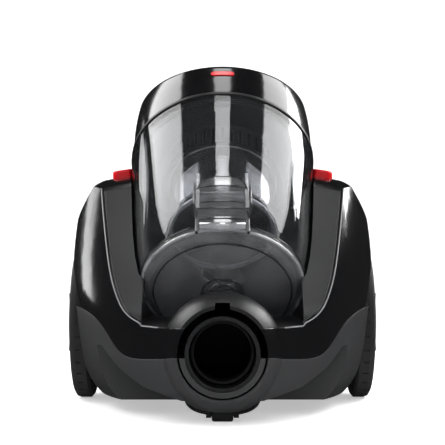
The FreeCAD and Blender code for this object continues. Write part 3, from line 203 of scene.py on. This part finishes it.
def make_materials():
    """One material for each slot in the record, and a few more for what is added here."""
    return {
        "gloss_black": plastic("gloss_black", (0.004, 0.004, 0.0045), (0.006, 0.006, 0.0065), (0.10, 0.15),
                               grain=0.012, grain_scale=120.0, edge=0.0011),
        # Painted highlight: the mouth's lip is drawn in light grey to stand for the highlight along its
        # rounded edge on the gloss black shell.
        "lip_painted_highlight": plastic("lip_painted_highlight", (0.20, 0.20, 0.205), (0.24, 0.24, 0.245), (0.15, 0.22)),
        "satin_grey": plastic("satin_grey", (0.028, 0.0285, 0.030), (0.038, 0.0385, 0.040), (0.30, 0.40),
                              grain=0.7, grain_scale=1500.0, edge=0.0011, specular=0.6),
        "satin_dark": plastic("satin_dark", (0.010, 0.0102, 0.011), (0.014, 0.0142, 0.015), (0.32, 0.42),
                              grain=0.4, edge=0.0009, specular=0.3),
        "dark_plastic": plastic("dark_plastic", (0.010, 0.010, 0.011), (0.015, 0.015, 0.016), (0.5, 0.65),
                                grain=0.4),
        "clear_smoke": clear_plastic("clear_smoke", (0.86, 0.865, 0.88), 0.012, 0.05),
        "cyclone_smoke": clear_plastic("cyclone_smoke", (0.80, 0.805, 0.82), 0.03, 0.08),
        "latch_clear": clear_plastic("latch_clear", (0.82, 0.825, 0.84), 0.10, 0.13, 0.10),
        "door_clear": clear_plastic("door_clear", (0.86, 0.865, 0.88), 0.09, 0.07),
        # Painted shade: a very dark tint on the beads along the clear parts' edges, ribs and rails, for the
        # dark lines those edges show.
        "clear_edge_painted_shade": clear_plastic("clear_edge_painted_shade", (0.16, 0.16, 0.17), 0.03, 0.12),
        # Painted highlight: a thick white film on the beads at the cup's lip and top, the door's lip and the
        # clip's grip, for their bright rims.
        "clear_painted_highlight": clear_plastic("clear_painted_highlight", (0.75, 0.75, 0.76), 0.55, 0.35),
        "pedal_red": plastic("pedal_red", (0.60, 0.004, 0.008), (0.68, 0.006, 0.012), (0.18, 0.26),
                             grain=0.05, grain_scale=500.0, edge=0.0008),
        "tyre_rubber": rubber("tyre_rubber", (0.014, 0.014, 0.015), (0.022, 0.022, 0.022)),
        "seal_rubber": rubber("seal_rubber", (0.010, 0.010, 0.010), (0.015, 0.015, 0.015)),
        "steel": metal("steel", (0.56, 0.57, 0.58), 0.25),
        "core_iron": metal("core_iron", (0.20, 0.19, 0.18), 0.45),
        "aluminium_bare": metal("aluminium_bare", (0.72, 0.73, 0.74), 0.3),
        "filter_paper": plastic("filter_paper", (0.66, 0.66, 0.62), (0.74, 0.74, 0.70), (0.7, 0.85),
                                grain=0.6),
        "filter_foam": plastic("filter_foam", (0.03, 0.03, 0.033), (0.06, 0.06, 0.064), (0.8, 0.9),
                               grain=1.0, grain_scale=700.0),
        "board_green": plastic("board_green", (0.012, 0.09, 0.035), (0.02, 0.12, 0.05), (0.3, 0.4)),
    }


# ---------------------------------------------------------------- stage

def add_camera():
    """The view, from in front and low down."""
    data = bpy.data.cameras.new("camera")
    data.lens = CAMERA_LENS
    data.sensor_width = SENSOR
    data.clip_end = 30
    cam = bpy.data.objects.new("camera", data)
    cam.location = CAMERA_AT
    cam.rotation_euler = (math.radians(90 + CAMERA_PITCH), 0, 0)
    SCENE.collection.objects.link(cam)
    SCENE.camera = cam


def add_area(name, at, target, size, power):
    """One soft box, aimed at target."""
    data = bpy.data.lights.new(name, "AREA")
    data.shape = "RECTANGLE"
    data.size, data.size_y = size
    data.energy = power
    lamp = bpy.data.objects.new(name, data)
    lamp.location = at
    lamp.rotation_euler = (Vector(target) - Vector(at)).to_track_quat("-Z", "Y").to_euler()
    SCENE.collection.objects.link(lamp)


def stage_material(glow):
    """Plain white, with a little light of its own."""
    mat, _, _, shader = node_tree("stage_white")
    shader.inputs["Base Color"].default_value = (0.88, 0.88, 0.88, 1)
    shader.inputs["Roughness"].default_value = 0.6
    shader.inputs["Emission Color"].default_value = (1, 1, 1, 1)
    shader.inputs["Emission Strength"].default_value = glow
    return mat


def add_stage():
    """A round white studio: a flat floor that curves up into a wall all the way round."""
    rings, steps, around = 6, 10, 64
    profile = [(STAGE_FLAT * i / rings, 0.0) for i in range(1, rings + 1)]
    for i in range(1, steps + 1):
        a = math.pi / 2 * i / steps
        profile.append((STAGE_FLAT + STAGE_CURVE * math.sin(a), STAGE_CURVE * (1 - math.cos(a))))
    profile.append((STAGE_FLAT + STAGE_CURVE, STAGE_HIGH))
    verts = [(0.0, 0.0, 0.0)]
    for r, z in profile:
        for j in range(around):
            turn = 2 * math.pi * j / around
            verts.append((r * math.cos(turn), r * math.sin(turn), z))
    faces = [(0, 1 + j, 1 + (j + 1) % around) for j in range(around)]
    for i in range(len(profile) - 1):
        low, high = 1 + i * around, 1 + (i + 1) * around
        for j in range(around):
            k = (j + 1) % around
            faces.append((low + j, high + j, high + k, low + k))
    mesh = bpy.data.meshes.new("studio")
    mesh.from_pydata(verts, [], faces)
    for face in mesh.polygons:
        face.use_smooth = True
    mesh.materials.append(stage_material(STAGE_GLOW))
    studio = bpy.data.objects.new("studio", mesh)
    studio.visible_glossy = False
    SCENE.collection.objects.link(studio)


def add_lights():
    """Soft boxes at both sides, behind, in front and overhead, and a weak room light."""
    middle = (0, -0.05, 0.16)
    for side in (-1, 1):
        add_area("side_box", (side * 1.0, 0.42, 1.15), middle, (1.0, 0.75), 14)
    add_area("left_rear_box", (-1.0, 1.05, 0.42), middle, (0.30, 0.6), 1.4)
    add_area("right_rear_box", (1.05, 0.95, 0.85), middle, (0.34, 0.5), 9)
    add_area("front_fill", (0, -1.6, 0.9), middle, (1.2, 0.5), 3)
    add_area("top_strip", (0, -0.15, 1.7), (0, -0.15, 0), (0.34, 1.0), 6)
    world = bpy.data.worlds.new("room")
    world.use_nodes = True
    world.node_tree.nodes["Background"].inputs["Color"].default_value = (0.5, 0.5, 0.51, 1)
    world.node_tree.nodes["Background"].inputs["Strength"].default_value = 0.03
    SCENE.world = world


# ---------------------------------------------------------------- the machine

def dress_nodes(materials):
    """Gives every CAD piece its slot's material."""
    for part in frame["record"]["subparts"]:
        obj = NODES[part["node"]]
        obj.data.materials.clear()
        obj.data.materials.append(materials[part["material_slot"]])


def soften_edges():
    """Even shading on every CAD piece: flat faces stay flat and curved ones smooth."""
    for obj in NODES.values():
        shade = obj.modifiers.new("shade", "WEIGHTED_NORMAL")
        shade.keep_sharp = True


def add_mesh(name, verts, faces, material, body, smooth=True):
    """A mesh from points in metres, in the machine's frame, riding on a body."""
    mesh = bpy.data.meshes.new(name)
    mesh.from_pydata([tuple(v) for v in verts], [], faces)
    for face in mesh.polygons:
        face.use_smooth = smooth
    mesh.materials.append(material)
    obj = bpy.data.objects.new(name, mesh)
    SCENE.collection.objects.link(obj)
    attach(obj, body)
    return obj


def add_bead(name, path, radius, material, body, closed=False, sides=8):
    """A thin round bead along a path of points."""
    points = [Vector(p) for p in path]
    count = len(points)
    verts, faces = [], []
    for i, point in enumerate(points):
        before = points[i - 1] if closed or i else point
        after = points[(i + 1) % count] if closed or i < count - 1 else point
        along = (after - before).normalized()
        across = along.orthogonal() if i == 0 else across - along * across.dot(along)
        across.normalize()
        up = along.cross(across)
        for j in range(sides):
            turn = 2 * math.pi * j / sides
            verts.append(point + (across * math.cos(turn) + up * math.sin(turn)) * radius)
    rings = count if closed else count - 1
    for i in range(rings):
        a, b = i * sides, ((i + 1) % count) * sides
        shift = 0
        if closed and i == count - 1:
            shift = min(range(sides), key=lambda k: (verts[b + k] - verts[a]).length)
        for j in range(sides):
            faces.append((a + j, a + (j + 1) % sides, b + (j + 1 + shift) % sides, b + (j + shift) % sides))
    if not closed:
        faces.append(tuple(reversed(range(sides))))
        faces.append(tuple(range((count - 1) * sides, count * sides)))
    return add_mesh(name, verts, faces, material, body)


def side_name(side):
    """The name of a side, from the sign of its X."""
    return "left" if side < 0 else "right"


def bin_ring_path(radius, height, steps=96):
    """Points round the bin's axis, in the machine's frame. Angles go from the bin's X towards its Y."""
    points = []
    for i in range(steps):
        turn = 2 * math.pi * i / steps
        points.append(BIN_FRAME @ Vector((radius * math.cos(turn), radius * math.sin(turn), height)))
    return points


def latch_y(z):
    """How far the clip stands out from the bin's axis, at a height along that axis."""
    line = [
        (-0.0160, -0.0780), (-0.0100, -0.0786), (0.0, -0.0798),
        (0.016, -0.0834), (0.030, -0.0860), (0.041, -0.0878),
    ]
    k = next(n for n in range(len(line) - 1) if z <= line[n + 1][0] + 1e-9)
    (low, near), (high, far) = line[k], line[k + 1]
    return near + (far - near) * (z - low) / (high - low)


def latch_form(material):
    """The clear door clip: a crowned plate with a rounded top. Gives the plate and its outline."""
    half, corner, low, top = CLIP_HALF, 0.012, -0.0155, 0.040
    rows, columns = 40, 20
    verts, faces = [], []
    for i in range(rows + 1):
        z = low + (top - low) * i / rows
        width = half - 0.0015 * max(0.0, (z - 0.020) / (top - 0.020))
        rest = top - z
        if rest < corner:
            width -= corner - math.sqrt(max(0.0, corner ** 2 - (corner - rest) ** 2))
        for j in range(columns + 1):
            x = -width + 2 * width * j / columns
            crown = CLIP_CROWN * (1 - (x / half) ** 2)
            verts.append(BIN_FRAME @ Vector((x, latch_y(z) - crown, z)))
    for i in range(rows):
        for j in range(columns):
            a = i * (columns + 1) + j
            faces.append((a, a + 1, a + columns + 2, a + columns + 1))
    plate = add_mesh("latch_plate", verts, faces, material, "latch")
    thick = plate.modifiers.new("thick", "SOLIDIFY")
    thick.thickness = 0.0022
    thick.offset = 0
    edge = plate.modifiers.new("edge", "BEVEL")
    edge.width = 0.0006
    edge.segments = 2
    outline = [verts[i * (columns + 1)] for i in range(rows + 1)]
    outline += [verts[rows * (columns + 1) + j] for j in range(1, columns + 1)]
    outline += [verts[i * (columns + 1) + columns] for i in range(rows - 1, -1, -1)]
    return plate, outline


def clip_details(materials):
    """The clip, its ribs and grip, and the two rails beside it on the bin. The outline, ribs and rails are
    drawn with a dark tint as painted shade, and the grip with a white film as a painted highlight.
    """
    edge, bright = materials["clear_edge_painted_shade"], materials["clear_painted_highlight"]
    plate, outline = latch_form(materials["latch_clear"])
    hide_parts("door_latch")
    add_bead("latch_lip", outline, 0.0014, edge, "latch")
    for n, z in enumerate((0.0300, 0.0140, 0.0075, -0.0030)):
        points = []
        for x in (-0.019, -0.010, 0.0, 0.010, 0.019):
            proud = 0.0012 + 0.0024 * (1 - (x / CLIP_HALF) ** 2)
            points.append(BIN_FRAME @ Vector((x, latch_y(z) - proud, z)))
        add_bead(f"latch_rib_{n}", points, 0.0006, edge, "latch")
    grip = -0.0105
    band = [BIN_FRAME @ Vector((x, latch_y(grip) - 0.0030, grip)) for x in (-0.019, 0.0, 0.019)]
    add_bead("latch_grip", band, 0.0030, bright, "latch", sides=12)
    for side in (-1, 1):
        x = side * 0.0238
        line = ((-0.0815, 0.0), (-0.0848, 0.014), (-0.0850, 0.028), (-0.082, 0.038))
        rail = [BIN_FRAME @ Vector((x, y, z)) for y, z in line]
        add_bead(f"latch_rail_{side_name(side)}", rail, 0.0010, edge, "dust_bin")


def bin_details(materials):
    """Lips and rings moulded in the clear bin, its cup and its door. The thin rings and the barrel lip are
    drawn with a dark tint as painted shade; the cup lip, cup top and door lip are drawn with a white film as
    painted highlights.
    """
    edge, bright = materials["clear_edge_painted_shade"], materials["clear_painted_highlight"]
    for n, (radius, height) in enumerate(((0.0868, 0.1515), (0.0866, 0.1485), (0.0864, 0.1460))):
        add_bead(f"rim_line_{n}", bin_ring_path(radius, height), 0.00035, edge, "dust_bin", closed=True)
    add_bead("barrel_lip", bin_ring_path(0.0727, 0.0004), 0.0007, edge, "dust_bin", closed=True)
    add_bead("cup_lip", bin_ring_path(0.0470, 0.0655), 0.0024, bright, "dust_bin", closed=True, sides=12)
    add_bead("cup_step", bin_ring_path(0.0506, 0.0700), 0.0005, edge, "dust_bin", closed=True)
    add_bead("cup_top", bin_ring_path(0.0508, 0.1270), 0.0008, bright, "dust_bin", closed=True)
    add_bead("door_lip", bin_ring_path(0.0706, -0.0035), 0.0014, bright, "door", closed=True)
    for n, (radius, thick) in enumerate(((0.0180, 0.0006), (0.0100, 0.0005), (0.0605, 0.0006))):
        add_bead(f"door_ring_{n}", bin_ring_path(radius, -0.0108), thick, edge, "door", closed=True)


def mouth_lips(material):
    """A thin lip on the upper shell, along each side of the mouth that the bin lies in, drawn in light grey
    as a painted highlight along the rounded edge.
    """
    form = bmesh.new()
    form.from_mesh(NODES["upper_shell"].data)
    bmesh.ops.remove_doubles(form, verts=form.verts, dist=1e-6)
    # The mouth is cut straight across, so its rim never leans sideways.
    rim = {f for f in form.faces if abs(f.normal.x) < 0.02 and f.normal.z > 0.66}
    sides = {-1: {}, 1: {}}
    for edge in form.edges:
        if len(edge.link_faces) != 2 or len(rim.intersection(edge.link_faces)) != 1:
            continue
        skin = next(f for f in edge.link_faces if f not in rim)
        middle = (edge.verts[0].co + edge.verts[1].co) / 2
        outward = Vector((middle.x, middle.y - AXLE_Y, 0)).normalized()
        if skin.normal.dot(outward) < 0.5 or abs(skin.normal.z) > 0.6:
            continue
        for vert in edge.verts:
            if abs(vert.co.x) > 0.048 and vert.co.y < -0.01:
                sides[1 if vert.co.x > 0 else -1][vert.index] = vert.co.copy()
    form.free()
    for side, found in sides.items():
        path = sorted(found.values(), key=lambda p: p.z)
        kept = [path[0]]
        for point in path[1:]:
            if (point - kept[-1]).length > 0.0025:
                kept.append(point)
        add_bead(f"mouth_lip_{side_name(side)}", kept, 0.0006, material, "base")


def wheel_details(material):
    """Turned rings and raised spokes on each wheel's cap."""
    low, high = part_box("right_hub_cap")
    centre = Vector((0, (low[1] + high[1]) / 2, (low[2] + high[2]) / 2))
    for side in (-1, 1):
        name = side_name(side)
        for n, (radius, out) in enumerate(((0.0560, 0.1485), (0.0360, 0.1503), (0.0150, 0.1513))):
            ring = [centre + Vector((side * out, radius * math.cos(t), radius * math.sin(t)))
                    for t in (2 * math.pi * i / 72 for i in range(72))]
            add_bead(f"{name}_cap_ring_{n}", ring, 0.0008, material, f"{name}_wheel", closed=True)
        for n in range(6):
            turn = math.radians(60 * n + 30)
            spoke = [centre + Vector((side * out, radius * math.cos(turn), radius * math.sin(turn)))
                     for radius, out in ((0.0375, 0.1500), (0.046, 0.1492), (0.0545, 0.1485))]
            add_bead(f"{name}_cap_spoke_{n}", spoke, 0.0018, material, f"{name}_wheel")


def cowl_details(material):
    """Two small curled hooks and a bar on top of the cowl, under the bin's door."""
    top, y, centre = 0.1078, -0.112, 0.0085
    for side in (-1, 1):
        curl = []
        for i in range(15):
            turn = math.radians(-90 + 20 * i)
            x = side * (centre + 0.0028 * math.cos(turn))
            curl.append(Vector((x, y, top + 0.0030 + 0.0028 * math.sin(turn))))
        add_bead(f"cowl_hook_{side_name(side)}", curl, 0.0007, material, "base")
    bar = [Vector((x, y, top + 0.0006)) for x in (-centre, 0.0, centre)]
    add_bead("cowl_bar", bar, 0.0007, material, "base")


def squash_springs():
    """Gives each pedal's spring its own copy of its mesh."""
    for pedal, joint in (("power_pedal", "power_press"), ("rewind_pedal", "rewind_press")):
        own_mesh(NODES[f"{pedal}_spring"])


SCENE.view_settings.view_transform = "Standard"
MATERIALS = make_materials()
dress_nodes(MATERIALS)
soften_edges()
# The door is a little milkier than the barrel.
NODES["bin_door"].data.materials[0] = MATERIALS["door_clear"]
clip_details(MATERIALS)
bin_details(MATERIALS)
mouth_lips(MATERIALS["lip_painted_highlight"])
wheel_details(MATERIALS["satin_dark"])
cowl_details(MATERIALS["satin_dark"])
squash_springs()
add_camera()
add_stage()
add_lights()
